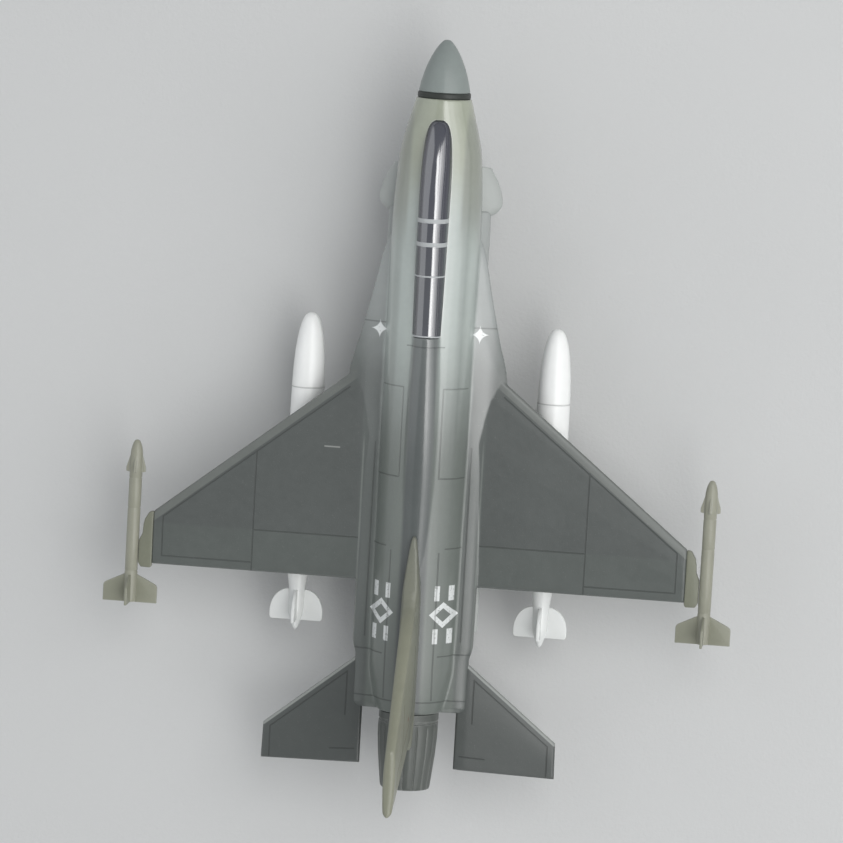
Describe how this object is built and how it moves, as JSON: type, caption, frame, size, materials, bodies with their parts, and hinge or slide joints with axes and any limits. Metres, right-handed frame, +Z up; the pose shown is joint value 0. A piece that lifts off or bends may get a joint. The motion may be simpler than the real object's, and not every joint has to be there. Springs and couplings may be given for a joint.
{
  "type": "toy jet fighter",
  "caption": "Small die-cast toy jet fighter with tinted canopy, wingtip missiles, underwing stores and free-rolling wheels.",
  "frame": {"origin": "centre of the overall box in X and Y, at the ground under the wheels", "axes": "+Y towards the nose, +X towards the right wing tip, +Z up"},
  "size_m": [0.076, 0.0906, 0.0306],
  "materials": {
    "grey_paint": "satin",
    "light_plastic": "satin",
    "dark_plastic": "matte",
    "radome_grey": "satin",
    "canopy_tint": "gloss",
    "cream_plastic": "satin",
    "white_plastic": "satin",
    "fin_grey": "satin",
    "tail_plastic": "satin",
    "engine_grey": "satin",
    "steel": "satin",
    "tyre_black": "matte",
    "hub_plastic": "satin"
  },
  "bodies": {
    "airframe": {"upper_casting": "grey_paint", "lower_body": "light_plastic", "radome": "radome_grey", "nose_ring": "dark_plastic", "canopy": "canopy_tint", "cockpit_tub": "dark_plastic", "ejection_seat": "dark_plastic", "instrument_coaming": "dark_plastic", "intake_cowl": "light_plastic", "vertical_fin": "fin_grey", "right_tailplane": "tail_plastic", "left_tailplane": "tail_plastic", "exhaust_nozzle": "engine_grey", "turbine_face": "dark_plastic", "right_launch_rail": "cream_plastic", "right_missile": "cream_plastic", "right_pylon": "light_plastic", "right_store": "white_plastic", "right_main_leg": "light_plastic", "left_launch_rail": "cream_plastic", "left_missile": "cream_plastic", "left_pylon": "light_plastic", "left_store": "white_plastic", "left_main_leg": "light_plastic", "nose_leg": "light_plastic", "nose_axle": "steel", "right_main_axle": "steel", "left_main_axle": "steel", "front_screw": "steel", "rear_screw": "steel"},
    "nose_wheel": {"nose_wheel_tyre": "tyre_black", "nose_wheel_hub": "hub_plastic"},
    "right_main_wheel": {"right_main_wheel_tyre": "tyre_black", "right_main_wheel_hub": "hub_plastic"},
    "left_main_wheel": {"left_main_wheel_tyre": "tyre_black", "left_main_wheel_hub": "hub_plastic"}
  },
  "joints": [
    {"name": "nose_wheel_spin", "type": "hinge", "parent": "airframe", "child": "nose_wheel", "pos_m": [0, 0.0143, 0.002], "axis": [1, 0, 0], "continuous": true},
    {"name": "right_main_wheel_spin", "type": "hinge", "parent": "airframe", "child": "right_main_wheel", "pos_m": [0.0064, -0.0117, 0.0025], "axis": [1, 0, 0], "continuous": true},
    {"name": "left_main_wheel_spin", "type": "hinge", "parent": "airframe", "child": "left_main_wheel", "pos_m": [-0.0064, -0.0117, 0.0025], "axis": [1, 0, 0], "continuous": true}
  ]
}
